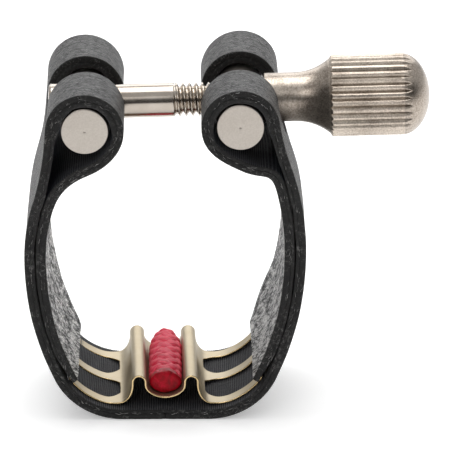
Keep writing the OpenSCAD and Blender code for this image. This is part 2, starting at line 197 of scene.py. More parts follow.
def curve(a, b, ha, hb, n=40):
    """A cubic from station a to station b, with handles of lengths ha and hb."""
    p0, p3 = np.array(a[:2]), np.array(b[:2])
    p1 = p0 + ha * np.array([cosd(a[2]), sind(a[2])])
    p2 = p3 - hb * np.array([cosd(b[2]), sind(b[2])])
    out = []
    for i in range(n + 1):
        t = i / n
        w = 1 - t
        p = w**3 * p0 + 3 * w * w * t * p1 + 3 * w * t * t * p2 + t**3 * p3
        d = w * w * (p1 - p0) + 2 * w * t * (p2 - p1) + t * t * (p3 - p2)
        out.append((p[0], p[1], math.degrees(math.atan2(d[1], d[0])) % 360))
    return out


def inward(s, t):
    return (s[0] - t * sind(s[2]), s[1] + t * cosd(s[2]), s[2])


def turned(stations, first, last):
    """The stations in reverse, set inward by first at what was their end and by last at their start."""
    n = len(stations) - 1
    out = []
    for i in range(n, -1, -1):
        p = inward(stations[i], last + (first - last) * i / n)
        out.append((p[0], p[1], p[2] + 180))
    return out


class Path:
    """Stations resampled by length, with straight run-outs at both ends."""

    def __init__(self, stations, runout=0.6):
        pts = [stations[0]]
        for s in stations[1:]:
            if math.hypot(s[0] - pts[-1][0], s[1] - pts[-1][1]) > 1e-4:
                pts.append(s)
        u, z, h = (np.array(c, float) for c in zip(*pts))
        h = np.unwrap(np.radians(h))
        s = np.concatenate([[0], np.cumsum(np.hypot(np.diff(u), np.diff(z)))])
        self.length = s[-1]
        self.s = np.concatenate([[-runout], s, [s[-1] + runout]])
        start = (u[0] - runout * math.cos(h[0]), z[0] - runout * math.sin(h[0]))
        end = (u[-1] + runout * math.cos(h[-1]), z[-1] + runout * math.sin(h[-1]))
        self.u = np.concatenate([[start[0]], u, [end[0]]])
        self.z = np.concatenate([[start[1]], z, [end[1]]])
        self.h = np.concatenate([[h[0]], h, [h[-1]]])

    def at(self, s, depth):
        """Point (u, z) at a length along the path and a depth inward from it."""
        u, z, h = (np.interp(s, self.s, c) for c in (self.u, self.z, self.h))
        return u - depth * np.sin(h), z + depth * np.cos(h)

    def where(self, height, s_from, s_to):
        """Length at which the path crosses a height, between two lengths."""
        s = np.linspace(s_from, s_to, 4000)
        z = self.at(s, 0)[1] - height
        return s[np.nonzero(z[:-1] * z[1:] <= 0)[0][0]]


def strip_path(side):
    """The outer face of one half: bottom, side, loop, fold, and the flap back down inside."""
    corner_r, corner_turn = side.corner
    corner = arc((side.flat, 0, 0), corner_r, corner_turn)
    lower = arc(corner[-1], side.lower_r, 90 - corner_turn)
    upper = arc(lower[-1], *side.upper)
    parting = arc(lower[-1], side.upper[0], PART_TURN)
    neck = arc(upper[-1], side.neck[0], -side.neck[1])
    centre = inward(neck[-1], LOOP_R)
    loop = arc(neck[-1], LOOP_R, FOLD_START - neck[-1][2])
    low = (centre[0] + side.fold[0], centre[1] + side.fold[1], side.fold[2])
    joint = turned(parting[-1:] * 2, SIDE, SIDE)[0]
    fold = curve(loop[-1], low, 1.9, 1.9) + curve(low, joint, 2.9, 2.6)
    flap_start = arc_end((side.flat, 0, 0), corner_r, corner_turn - side.flap)
    flap = arc(flap_start, corner_r, side.flap)
    back = turned(lower + parting, SIDE, SIDE) + turned(flap, SIDE, FLAP_END)
    return Path([(0, 0, 0)] + corner + lower + upper + neck + loop + fold + back)


# --- Meshes ---
def add_object(name, data):
    obj = bpy.data.objects.new(name, data)
    bpy.context.scene.collection.objects.link(obj)
    return obj


def make_object(name, points, faces, materials, face_slots=None, uvs=None, sharp=40):
    """A mesh object from points in millimetres, smooth except at sharp edges."""
    mesh = bpy.data.meshes.new(name)
    mesh.from_pydata((np.asarray(points, float) * MM).tolist(), [], faces)
    for m in materials:
        mesh.materials.append(m)
    if face_slots is not None:
        mesh.polygons.foreach_set("material_index", face_slots)
    if uvs is not None:
        layer = mesh.uv_layers.new(name="surface")
        index = np.zeros(len(mesh.loops), np.int32)
        mesh.loops.foreach_get("vertex_index", index)
        layer.data.foreach_set("uv", np.asarray(uvs, np.float32)[index].ravel())
    mesh.polygons.foreach_set("use_smooth", [True] * len(mesh.polygons))
    mesh.validate()
    bm = bmesh.new()
    bm.from_mesh(mesh)
    bmesh.ops.recalc_face_normals(bm, faces=bm.faces)
    bm.to_mesh(mesh)
    bm.free()
    mesh.set_sharp_from_angle(angle=math.radians(sharp))
    return add_object(name, mesh)


def grid(rows, lines, counts, graded=()):
    """Grid of (s, y) points, and which cells exist: all, to begin with.

    rows are the lengths s, lines the places y of each row's fixed columns, and counts the cells between
    neighbouring lines. In graded blocks the cells are smaller towards both lines."""
    columns = []
    for k, n in enumerate(counts):
        t = np.arange(n) / n
        if k in graded:
            t = 0.5 * t + 0.25 * (1 - np.cos(np.pi * t))
        columns.append(lines[k][:, None] + (lines[k + 1] - lines[k])[:, None] * t[None, :])
    Y = np.concatenate(columns + [lines[-1][:, None]], axis=1)
    S = np.repeat(rows[:, None], Y.shape[1], axis=1)
    return S, Y, np.ones((len(rows) - 1, Y.shape[1] - 1), bool)


def shell(name, S, Y, keep, place, profile, materials, back_slot=1, fixed_start=False, sharp=40,
          ragged=0.0, notch=0.0):
    """A closed shell over a grid of (s, y) points.

    keep says which cells exist, place(s, y, depth) gives points, and profile is the cut edge's list of
    (depth, outset) from one face to the other. ragged is the edge's unevenness, and notch draws the
    front edge in near s = 0. With fixed_start the first row gets no outset along s."""
    padded = np.pad(keep, 1)
    used = padded[:-1, :-1] | padded[1:, :-1] | padded[:-1, 1:] | padded[1:, 1:]
    ids = np.cumsum(used).reshape(used.shape) - 1
    s, y = S[used], Y[used]
    quads, edges = [], []
    for i, j in np.argwhere(keep):
        quad = [int(ids[i, j]), int(ids[i + 1, j]), int(ids[i + 1, j + 1]), int(ids[i, j + 1])]
        quads.append(quad)
        for k, (di, dj) in enumerate(((0, -1), (1, 0), (0, 1), (-1, 0))):
            if not padded[i + 1 + di, j + 1 + dj]:
                edges.append((quad[k], quad[(k + 1) % 4]))
    edges = np.array(edges)
    step_s, step_y = (c[edges[:, 1]] - c[edges[:, 0]] for c in (s, y))
    out = np.stack([step_y, -step_s], axis=1) / (np.hypot(step_s, step_y) + 1e-12)[:, None]
    normal = np.zeros((len(s), 2))
    np.add.at(normal, edges[:, 0], out)
    np.add.at(normal, edges[:, 1], out)
    if fixed_start:
        normal[s == S[0, 0], 0] = 0
    rim = np.unique(edges)
    normal = normal[rim]
    length = np.linalg.norm(normal, axis=1)
    free = length > 1e-9
    normal[free] /= length[free][:, None]

    points, uvs, faces, slots, rings = [], [], [], [], []
    last_slot = len(materials) - 1
    for k, (depth, outset) in enumerate(profile):
        rs, ry = s[rim], y[rim]
        reach = np.full(len(rim), float(outset))
        reach += ragged * np.array([noise.noise((a * 3.1, b * 3.1, depth * 2.5)) for a, b in zip(rs, ry)])
        reach -= notch * np.clip(1 - np.abs(rs) / 0.5, 0, 1) * (ry < 0)
        reach[~free] = 0
        rs = rs + normal[:, 0] * reach
        ry = ry + normal[:, 1] * reach
        start = len(points)
        if k in (0, len(profile) - 1):
            rings.append(start + rim)
            step = 1 if k == 0 else -1
            faces += [[start + v for v in q[::step]] for q in quads]
            slots += [0 if k == 0 else min(back_slot, last_slot)] * len(quads)
            whole_s, whole_y = s.copy(), y.copy()
            whole_s[rim], whole_y[rim] = rs, ry
            rs, ry = whole_s, whole_y
        else:
            rings.append(start + np.arange(len(rim)))
        points.extend(place(rs, ry, np.full(len(rs), float(depth))))
        uvs.extend(zip(rs * 0.01, ry * 0.01))
    places = np.searchsorted(rim, edges)
    for low, high in zip(rings[:-1], rings[1:]):
        i, j = places.T
        faces += np.stack([low[j], low[i], high[i], high[j]], axis=1).tolist()
        slots += [min(1, last_slot)] * len(edges)
    return make_object(name, points, faces, materials, slots, uvs, sharp)


def even_turns(count):
    return np.arange(count) * TAU / count


def rounded(r, edge):
    """Rows of a turned piece's rounded rim, from its face outwards."""
    return [(edge * (1 - cosd(a)), r - edge * (1 - sind(a))) for a in (0, 30, 60, 90)]


def spun(name, rows, turns, origin, axis, materials, radius=None, row_slots=None, sharp=35):
    """A closed turned piece. rows are (distance along the axis, radius), and both ends are on the axis."""
    origin, axis = np.array(origin, float), np.array(axis, float)
    across = np.array([0.0, 0.0, 1.0]) if abs(axis[1]) > 0.9 else np.array([0.0, 1.0, 0.0])
    third = np.cross(axis, across)
    count = len(turns)
    points, uvs, faces, slots, first = [], [], [], [], []
    for a, r in rows:
        first.append(len(points))
        if r < 1e-9:
            points.append(origin + axis * a)
            uvs.append((0.5, a * 0.01))
            continue
        rr = radius(a, turns, r) if radius else np.full(count, r)
        ring = np.outer(rr * np.cos(turns), across) + np.outer(rr * np.sin(turns), third)
        points.extend(origin + axis * a + ring)
        uvs.extend((t / TAU, a * 0.01) for t in turns)
    for k in range(len(rows) - 1):
        a, b = first[k], first[k + 1]
        for i in range(count):
            j = (i + 1) % count
            if rows[k][1] < 1e-9:
                faces.append([a, b + i, b + j])
            elif rows[k + 1][1] < 1e-9:
                faces.append([a + i, b, a + j])
            else:
                faces.append([a + i, b + i, b + j, a + j])
            slots.append(row_slots[k] if row_slots else 0)
    return make_object(name, points, faces, materials, slots, uvs, sharp)


def fit(piece, body, node):
    """Fixes a piece to a body, in place of a CAD node."""
    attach(piece, body)
    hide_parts(node)


def cut_with(obj, cutter):
    """Cuts the cutter out of obj and removes it."""
    modifier = obj.modifiers.new("cut", "BOOLEAN")
    modifier.operation = "DIFFERENCE"
    modifier.solver = "EXACT"
    modifier.object = cutter
    bpy.context.view_layer.update()
    done = bpy.data.meshes.new_from_object(obj.evaluated_get(bpy.context.evaluated_depsgraph_get()))
    obj.modifiers.clear()
    old = obj.data
    obj.data = done
    bpy.data.meshes.remove(old)
    bpy.data.objects.remove(cutter)
    obj.data.set_sharp_from_angle(angle=math.radians(35))


def tube_faces(start, rings, count):
    """Faces of a closed tube whose rings, of count points each, follow each other from index start."""
    last = start + (rings - 1) * count
    faces = [list(range(start, start + count))[::-1], list(range(last, last + count))]
    for a in range(start, last, count):
        for k in range(count):
            n = (k + 1) % count
            faces.append([a + k, a + n, a + count + n, a + count + k])
    return faces


def tube_mesh(lines, sides=5):
    """Points and faces of thin closed tubes along (points, radii) lines."""
    points, faces = [], []
    for line, radii in lines:
        faces += tube_faces(len(points), len(line), sides)
        for p, t, r in zip(line, np.gradient(line, axis=0), radii):
            t = t / (np.linalg.norm(t) + 1e-12)
            side = np.cross(t, [0.31, 0.2, 0.93])
            side /= np.linalg.norm(side)
            up = np.cross(side, t)
            for k in range(sides):
                a = TAU * k / sides
                points.append(p + r * (math.cos(a) * side + math.sin(a) * up))
    return points, faces


def closed_rings(name, rings, materials):
    """Closed mesh from equal rings of points, capped at both ends."""
    points = [p for ring in rings for p in ring]
    return make_object(name, points, tube_faces(0, len(rings), len(rings[0])), materials, sharp=60)


# --- Materials ---
# The Mix node's sockets for colours and for values, and the period of a Wave texture of scale 1.
MIX_A, MIX_B, MIX_RESULT = 6, 7, 2
VALUE_A, VALUE_B = 2, 3
WAVE_PERIOD = TAU / 20


class Nodes:
    """Short calls for the nodes of one tree. Inputs are values or links."""

    def __init__(self, tree):
        self.tree = tree

    def node(self, kind, inputs, **settings):
        n = self.tree.nodes.new("ShaderNode" + kind)
        for key, value in settings.items():
            setattr(n, key, value)
        for key, value in inputs.items():
            self.put(n, key, value)
        return n

    def put(self, node, key, value):
        if isinstance(value, bpy.types.NodeSocket):
            self.tree.links.new(value, node.inputs[key])
        else:
            node.inputs[key].default_value = value

    def mapped(self, vector, scale, turn=0.0, kind="POINT"):
        inputs = {"Vector": vector, "Scale": scale, "Rotation": (0, 0, turn)}
        return self.node("Mapping", inputs, vector_type=kind).outputs["Vector"]

    def surface(self, along, across):
        """Coordinates from the surface layer, in which 1 is 100 mm along and across a sheet or a yarn,
        and a whole turn along and 100 mm across on a turned piece."""
        layer = self.node("UVMap", {}, uv_map="surface")
        return self.mapped(layer.outputs["UV"], (along, across, 1))

    def space(self, scale):
        """Object coordinates, with scale as the number of units in a metre."""
        return self.mapped(self.node("TexCoord", {}).outputs["Object"], (scale,) * 3)

    def noise(self, vector, scale, detail=4, roughness=0.5, distortion=0.0, output="Fac"):
        inputs = {"Vector": vector, "Scale": scale, "Detail": detail, "Roughness": roughness,
                  "Distortion": distortion}
        return self.node("TexNoise", inputs).outputs[output]

    def cells(self, vector, scale):
        """Distance to the edges of Voronoi cells."""
        inputs = {"Vector": vector, "Scale": scale}
        return self.node("TexVoronoi", inputs, feature="DISTANCE_TO_EDGE").outputs["Distance"]

    def ramp(self, value, stops):
        """Stops are (place, colour) in rising order, and a single number is a grey."""
        n = self.node("ValToRGB", {"Fac": value})
        elements = n.color_ramp.elements
        while len(elements) < len(stops):
            elements.new(0.5)
        for element, (at, colour) in zip(elements, stops):
            element.position = at
            element.color = (*(colour if isinstance(colour, tuple) else (colour,) * 3), 1)
        return n.outputs["Color"]

    def span(self, value, low, high, to_low, to_high):
        """The value, clamped between low and high and mapped to the new range."""
        inputs = {"Value": value, "From Min": low, "From Max": high, "To Min": to_low, "To Max": to_high}
        return self.node("MapRange", inputs).outputs["Result"]

    def add(self, a, b):
        return self.node("Math", {0: a, 1: b}, operation="ADD").outputs["Value"]

    def times(self, a, b):
        return self.node("Math", {0: a, 1: b}, operation="MULTIPLY").outputs["Value"]

    def mix(self, fac, a, b):
        a, b = ((*v, 1) if isinstance(v, tuple) else v for v in (a, b))
        return self.node("Mix", {"Factor": fac, MIX_A: a, MIX_B: b}, data_type="RGBA").outputs[MIX_RESULT]

    def bump(self, height, distance, strength=1.0, before=None):
        inputs = {"Height": height, "Distance": distance * MM, "Strength": strength}
        if before is not None:
            inputs["Normal"] = before
        return self.node("Bump", inputs).outputs["Normal"]


class Material(Nodes):
    """A node material with one Principled shader."""

    def __init__(self, name, **inputs):
        self.mat = bpy.data.materials.new(name)
        self.mat.use_nodes = True
        super().__init__(self.mat.node_tree)
        self.shader = self.tree.nodes["Principled BSDF"]
        for key, value in inputs.items():
            self.put(self.shader, key.replace("_", " "), value)

    def finish(self, colour, roughness=None, normal=None):
        for value, key in ((colour, "Base Color"), (roughness, "Roughness"), (normal, "Normal")):
            if value is not None:
                self.put(self.shader, key, value)
        return self.mat


def leather(name, flap_from, scuff):
    """Black leather: pebbles parted by slanting creases, and scuffed on the flap inside."""
    m = Material(name, Specular_IOR_Level=0.5, Coat_Weight=0.05, Coat_Roughness=0.4)
    flat = m.surface(100, 100)
    slanted = m.mapped(flat, (0.75, 1.75, 1), 0.2)
    wander = m.noise(flat, 1.1, 3, output="Color")
    warp = m.node("MixRGB", {"Fac": 0.7, "Color1": slanted, "Color2": wander}, blend_type="ADD")
    crease = m.span(m.cells(warp.outputs["Color"], 0.95), 0.0, 0.14, 0, 1)
    pebble = m.span(m.cells(warp.outputs["Color"], 2.3), 0.0, 0.22, 0, 1)
    grit = m.noise(flat, 7.0, 4, 0.65)
    cloud = m.noise(flat, 0.4, 3, 0.55)
    soft = m.noise(slanted, 1.3, 5, 0.7, 0.8)
    height = m.add(m.times(crease, 0.3), m.times(pebble, 0.25))
    height = m.add(height, m.span(soft, 0.3, 0.7, 0, 0.45))
    normal = m.bump(grit, 0.06, 0.8, m.bump(height, 0.2))
    grain_depth = m.times(height, m.span(grit, 0.3, 0.7, 0.45, 1.2))
    # The leather's own grain tone, with painted shade: the colour follows the bump's height, so the creases
    # are painted darker and the pebble tops lighter.
    colour = m.ramp(grain_depth, [(0.12, 0.004), (0.55, 0.038), (1.0, (0.16, 0.158, 0.155))])
    colour = m.mix(m.span(cloud, 0.35, 0.7, 0.0, 0.4), colour, (0.062, 0.061, 0.060))

    # Scuffs on the flap, drawn out at a slant.
    place = m.node("SeparateXYZ", {"Vector": flat})
    on_flap = m.span(place.outputs["X"], flap_from, flap_from + 5, 0, 1)
    drawn = m.mapped(flat, (2.6, 0.8, 1), 1.0, "TEXTURE")
    streak = m.noise(drawn, 1.0, 6, 0.75, 0.4)
    grain = m.noise(drawn, 3.4, 3, 0.6)
    patch = m.noise(flat, 0.16, 3, 0.6)
    worn = m.add(m.add(m.times(streak, 0.8), m.times(grain, 0.4)), m.times(patch, 0.3))
    pale = m.ramp(worn, [(0.62, 0.003), (0.70, (0.06, 0.06, 0.059)), (0.755, (0.36, 0.357, 0.35)),
                         (0.83, (1.0, 0.99, 0.97))])
    colour = m.mix(m.times(on_flap, scuff), colour, pale)
    normal = m.bump(streak, 0.3, 1.0, normal)

    # At a grazing angle the leather's contrast comes from its gloss.
    plain_gloss = m.span(grain_depth, 0.1, 0.75, 0.15, 1.0)
    flap_gloss = m.times(m.span(grain_depth, 0.1, 0.8, 0.1, 0.75), m.span(worn, 0.66, 0.80, 0.05, 2.2))
    gloss = m.node("Mix", {"Factor": on_flap, VALUE_A: plain_gloss, VALUE_B: flap_gloss}).outputs["Result"]
    m.put(m.shader, "Specular IOR Level", gloss)
    return m.finish(colour, m.span(height, 0, 1, 0.66, 0.42), normal)


def cut_edge(name):
    """The cut edge of the laminate: matt black with fibres drawn along it."""
    m = Material(name, Specular_IOR_Level=0.3, Sheen_Weight=0.05, Sheen_Roughness=0.5)
    space = m.space(1000)
    fibre = m.noise(space, 1.9, 8, 0.78, 1.2)
    grit = m.noise(space, 7.0, 4, 0.65)
    patch = m.noise(space, 0.25, 3, 0.6)
    fluff = m.times(m.span(fibre, 0.52, 0.66, 0, 1), m.span(patch, 0.42, 0.62, 0.12, 1))
    colour = m.ramp(grit, [(0.3, 0.003), (0.6, (0.014, 0.0135, 0.013)), (0.8, (0.04, 0.038, 0.036))])
    colour = m.mix(fluff, colour, (0.17, 0.165, 0.16))
    normal = m.bump(grit, 0.06, 0.8, m.bump(fibre, 0.16))
    return m.finish(colour, m.span(grit, 0.2, 0.8, 0.55, 0.9), normal)


def textile(name):
    """Dark ribbed fabric: the ribs are in the mesh, and here the threads across them and painted light and
    shade on them, lighter on the crests and darker in the troughs.
    """
    m = Material(name, Specular_IOR_Level=0.2, Sheen_Weight=0.05, Sheen_Roughness=0.4,
                 Sheen_Tint=(0.75, 0.8, 1.0, 1))
    flat = m.surface(100, 100)
    inputs = {"Vector": flat, "Scale": WAVE_PERIOD / RIB, "Distortion": 0.6, "Detail": 1.0}
    wave = m.node("TexWave", inputs, wave_type="BANDS", bands_direction="X", wave_profile="SIN")
    yarn = m.noise(m.surface(60, 340), 1.5, 4, 0.6)
    slub = m.noise(flat, 0.9, 3, 0.55)
    # Painted highlight and shade: the colour follows the ribs, lighter on their crests and near black in
    # the troughs.
    colour = m.ramp(wave.outputs["Fac"], [(0.1, (0.004, 0.004, 0.005)), (0.6, (0.02, 0.02, 0.022)),
                                          (1.0, (0.075, 0.075, 0.08))])
    colour = m.mix(m.span(slub, 0.5, 0.75, 0, 0.5), colour, (0.05, 0.05, 0.053))
    return m.finish(colour, m.span(yarn, 0.3, 0.7, 0.6, 0.85), m.bump(yarn, 0.05, 0.8))


def satin_nickel(name, dark, light, rough, grain):
    """Satin nickel, turned and blasted: lines round the axis under a fine grain."""
    m = Material(name, Metallic=1.0)
    lines = m.noise(m.surface(2.2, 5200), 1.0, 3, 0.6)
    cloud = m.noise(m.space(260), 1.0, 4, 0.6)
    grit = m.noise(m.space(5200), 1.0, 2, 0.5)
    colour = m.mix(m.span(m.add(cloud, grit), 0.75, 1.25, 0, 1), dark, light)
    finish = m.span(m.add(lines, cloud), 0.6, 1.4, rough - 0.07, rough + 0.07)
    return m.finish(colour, finish, m.bump(grit, grain, 0.6, m.bump(lines, 0.005, 0.4)))


def bright_nickel(name):
    """Polished nickel with faint lines round the axis."""
    m = Material(name, Metallic=1.0)
    cloud = m.noise(m.space(420), 1.0, 3, 0.5)
    fine = m.noise(m.surface(3, 2500), 1.0, 2, 0.5)
    colour = m.mix(m.span(cloud, 0.3, 0.7, 0, 1), (0.41, 0.36, 0.31), (0.50, 0.45, 0.395))
    return m.finish(colour, m.span(fine, 0.2, 0.8, 0.12, 0.24), m.bump(cloud, 0.01, 0.25))


def gilt(name, edge=False):
    """Pale gilt sheet with a satin face and a brighter sheared edge."""
    m = Material(name, Metallic=1.0)
    drawn = m.noise(m.surface(30, 900), 1.0, 3, 0.6)
    cloud = m.noise(m.space(300), 1.0, 4, 0.6)
    grit = m.noise(m.space(6000), 1.0, 2, 0.5)
    if edge:
        colour = m.mix(cloud, (0.66, 0.47, 0.22), (0.78, 0.61, 0.35))
        rough = m.span(grit, 0.2, 0.8, 0.16, 0.3)
    else:
        colour = m.mix(m.span(cloud, 0.3, 0.7, 0, 1), (0.42, 0.35, 0.235), (0.50, 0.435, 0.32))
        rough = m.span(m.add(drawn, cloud), 0.6, 1.4, 0.4, 0.56)
    return m.finish(colour, rough, m.bump(grit, 0.004, 0.3, m.bump(drawn, 0.004, 0.4)))


def braid(name):
    """Crimson yarns with their filaments, lighter where they are worn."""
    m = Material(name, Specular_IOR_Level=0.35, Sheen_Weight=0.12, Sheen_Roughness=0.35,
                 Sheen_Tint=(1.0, 0.45, 0.52, 1))
    filament = m.noise(m.surface(90, 1500), 1.0, 3, 0.6)
    cloud = m.noise(m.space(900), 1.0, 3, 0.6)
    colour = m.ramp(filament, [(0.25, (0.40, 0.002, 0.018)), (0.55, (0.78, 0.018, 0.062)),
                               (0.8, (0.92, 0.10, 0.17))])
    colour = m.mix(m.span(cloud, 0.45, 0.75, 0, 0.6), colour, (0.86, 0.13, 0.20))
    return m.finish(colour, m.span(filament, 0.2, 0.8, 0.42, 0.66), m.bump(filament, 0.05, 0.7))


def clouded(name, noise_settings, stops, rough, bump=None, **inputs):
    """A colour broken up by one noise, which also sets the gloss and the bumps."""
    m = Material(name, **inputs)
    scale, *settings = noise_settings
    cloud = m.noise(m.space(scale), 1.0, *settings)
    return m.finish(m.ramp(cloud, stops), m.span(cloud, 0.3, 0.7, *rough), bump and m.bump(cloud, *bump))


LEFT.leather = leather("leather_left", 74, 0.95)
RIGHT.leather = leather("leather_right", 78, 0.6)
CUT = cut_edge("cut_edge")
TEXTILE = textile("textile")
SATIN = satin_nickel("satin_nickel", (0.405, 0.365, 0.325), (0.475, 0.435, 0.39), 0.32, 0.004)
KNOB = satin_nickel("knob_nickel", (0.34, 0.285, 0.235), (0.68, 0.60, 0.515), 0.36, 0.045)
# The turned neck and dome: smoother, finer-grained nickel than the grip, and a darker colour that is
# painted shade standing in for the dark reflections there.
KNOB_TURNED_SHADED = satin_nickel("knob_turned_shaded", (0.24, 0.20, 0.165), (0.54, 0.475, 0.41), 0.31, 0.02)
BRIGHT = bright_nickel("bright_nickel")
GILT = gilt("gilt")
GILT_EDGE = gilt("gilt_edge", edge=True)
BRAID = braid("braid")
FUSED = clouded("fused_cord", (1100, 4, 0.65, 0.5),
                [(0.3, (0.17, 0.0003, 0.004)), (0.52, (0.40, 0.0008, 0.011)), (0.75, (0.62, 0.008, 0.035))],
                (0.28, 0.5), (0.06, 0.7), Specular_IOR_Level=0.16)
GLUE = clouded("glue", (1500, 3, 0.6), [(0.35, 0.006), (0.7, (0.04, 0.037, 0.033))],
               (0.4, 0.7), (0.03, 0.6), Specular_IOR_Level=0.4)
LINT = clouded("lint", (600, 2, 0.5), [(0.4, (0.10, 0.098, 0.095)), (0.62, (0.36, 0.35, 0.34))],
               (0.6, 0.8), Specular_IOR_Level=0.3, Sheen_Weight=0.3)


# --- The strip ---
def edge_at(z, k):
    """The strip's front (k = 0) or back (k = 1) edge at a height: it flares out towards the loops."""
    return STRIP_Y[k] + (LOOP_Y[k] - STRIP_Y[k]) * smooth((z - FLARE[0]) / (FLARE[1] - FLARE[0]))


def strip_rows(side, path, slot_s, step, until):
    """Lengths of the grid's rows, closer along the round corners of the slot and of the flap's end.

    They are step apart up to until, and ROW_STEP apart after it."""
    rows = np.round([*np.arange(0, until, step), *np.arange(until, path.length, ROW_STEP)], 4)
    rows = {r for r in rows
            if path.length - r > side.end_r + 0.1 and all(abs(r - e) > 1.15 * SLOT_R for e in slot_s)}
    rows |= {path.length - side.end_r * (1 - sind(a)) for a in range(0, 91, 9)}
    for s, way in zip(slot_s, (1, -1)):
        rows |= {s + way * SLOT_R * (1 - cosd(a)) for a in range(0, 91, 10)}
        rows |= {s - way * k for k in (0.25, 0.6, 1.0)}
    return np.array(sorted(rows))


def corner_inset(into, r):
    """How far a round corner of radius r draws a straight edge in, at a distance into it."""
    c = np.clip(r - into, 0, r)
    return r - np.sqrt(np.maximum(r**2 - c**2, 0))


def strip_grid(side, path, rows, slot_s, counts):
    """Grid of (s, y) over half a strip, in three blocks across it with the slot in the middle one."""
    z = path.at(rows, 0)[1]
    back = edge_at(z, 1) - corner_inset(path.length - rows, side.end_r)
    inset = corner_inset(np.minimum(rows - slot_s[0], slot_s[1] - rows), SLOT_R)
    lines = [edge_at(z, 0), side.slot[0] + inset, side.slot[1] - inset, back]
    S, Y, keep = grid(rows, lines, counts, graded=(0, 2))
    middle = (rows[:-1] + rows[1:]) / 2
    keep[(middle > slot_s[0]) & (middle < slot_s[1]), counts[0]:counts[0] + counts[1]] = False
    return S, Y, keep


def swell(s, y):
    """Slow unevenness of the hand-made strip, as a share of UNEVEN."""
    return np.array([noise.noise((a * 0.11, b * 0.13, 4.2)) + 0.5 * noise.noise((a * 0.4, b * 0.37, 9.1))
                     for a, b in zip(s, y)])


def strip_place(side, path, lining=None):
    """The strip's place(s, y, depth). lining adds to the depth, and fills the loop round its barrel."""

    def place(s, y, depth):
        if lining is not None:
            u, z = path.at(s, 0)
            depth = depth + lining(s, y, depth)
            in_loop = smooth((z - 35.5) / 3) * smooth((depth - SKIN) / (PLY - SKIN))
            outer_wall = smooth((u - 11.3) / 1.5) * (side is LEFT)
            depth = depth + (LOOP_LINING + OUTER_LINING * outer_wall) * in_loop
        u, z = path.at(s, depth)
        rear = smooth((y + 3) / 14)
        u = u + side.lean * smooth((z - 30) / 6) * rear + UNEVEN * swell(s, y)
        if side is RIGHT:
            for (draw, at, reach), where in ((RIGHT_BACK, 1), (RIGHT_FLAP_BACK, s > path.length / 2)):
                u = u - draw * rear * np.exp(-((z - at) / reach) ** 2) * where
        z = z + UNEVEN * swell(s + 50, y) * smooth(z / 3)
        return np.stack([side.sign * u, y, z], axis=1)

    return place


def make_strip(side, path):
    """One half's leather skin and ribbed lining, each with its cut edge."""
    top = path.length / 2
    slot_s = (path.where(SLOT_LOW, 20, top), path.where(SLOT_LOW, top, path.length))
    cells = strip_grid(side, path, strip_rows(side, path, slot_s, ROW_STEP, 1), slot_s, (26, 16, 26))
    skin_edge = [(0, -0.15), (0.025, -0.06), (0.09, -0.01), (0.2, 0.015), (0.45, 0.02), (0.66, 0.0),
                 (SKIN, -0.06)]
    skin = shell("leather_" + side.tag, *cells, strip_place(side, path), skin_edge, [side.leather, CUT],
                 fixed_start=True, sharp=50, ragged=0.05, notch=0.25)

    def ribs(s, y, depth):
        """Ribs on the lining's face, and the lining pared away towards the flap's end."""
        face = (depth > PLY - 0.02).astype(float)
        wobble = np.array([noise.noise((a * 0.5, b * 0.35, 2.0)) for a, b in zip(s, y)])
        rib = 0.5 + 0.5 * np.cos(TAU * (s + 0.10 * wobble) / RIB)
        pared = smooth((s - (path.length - 4.2)) / 4.0)
        return -face * (0.012 + 0.05 * rib**1.5) - (depth - SKIN) * 0.93 * pared

    cells = strip_grid(side, path, strip_rows(side, path, slot_s, RIB / 6, 19), slot_s, (20, 12, 20))
    lining_edge = [(PLY, -0.09), (1.15, -0.01), (0.95, 0.015), (SKIN + 0.05, -0.02), (SKIN + 0.01, -0.10)]
    lining = shell("lining_" + side.tag, *cells, strip_place(side, path, ribs), lining_edge, [TEXTILE, CUT],
                   fixed_start=True, sharp=60, ragged=0.06, notch=0.22)
    return skin, lining


def make_glue(side, path):
    """Thin sheet of adhesive between the two layers, with an uneven edge set back from the cut."""
    corner_r, corner_turn = side.corner
    corner_end = side.flat + math.radians(corner_turn) * corner_r
    lower_end = corner_end + math.radians(90 - corner_turn) * side.lower_r
    parting = lower_end + math.radians(PART_TURN) * side.upper[0]
    rows = np.linspace(corner_end - 0.6, parting + 0.8, 110)
    z = path.at(rows, 0)[1]
    sheet = grid(rows, [edge_at(z, 0) + GLUE_SET_BACK, edge_at(z, 1) - GLUE_SET_BACK], (29,))
    edge = [(PLY - 0.005, -0.05), (PLY + 0.05, 0.05), (SIDE - PLY + 0.005, -0.05)]
    return shell("glue_" + side.tag, *sheet, strip_place(side, path), edge, [GLUE], sharp=60, ragged=0.35)


def make_fibres(side, path):
    """Short fibres standing out of the cut edges, mostly lying along them."""
    place = strip_place(side, path)
    t = np.linspace(0, 1, len(FIBRE_TAPER))
    lines = []
    for _ in range(FIBRES):
        s = random.uniform(0.5, path.length - 1.0)
        outward = -1 if random.random() < 0.62 else 1
        y = edge_at(path.at(s, 0)[1], 0 if outward < 0 else 1)
        depth = random.choice((random.uniform(0.15, 1.1), random.gauss(0.76, 0.06)))
        length = random.uniform(0.2, 0.8)
        lean = 0.6 * random.uniform(-1, 1)
        bow = random.uniform(0.02, 0.16)
        along = length * t * math.cos(lean)
        depths = np.clip(depth + 0.6 * length * t * math.sin(lean), 0.05, 1.22)
        out = outward * (-0.03 + bow * np.sin(np.pi * t) + 0.05 * t * random.random())
        r = random.uniform(0.012, 0.028)
        lines.append((place(s + along, y + out, depths), r * FIBRE_TAPER))
    points, faces = tube_mesh(lines)
    return make_object("fibres_" + side.tag, points, faces, [LINT])


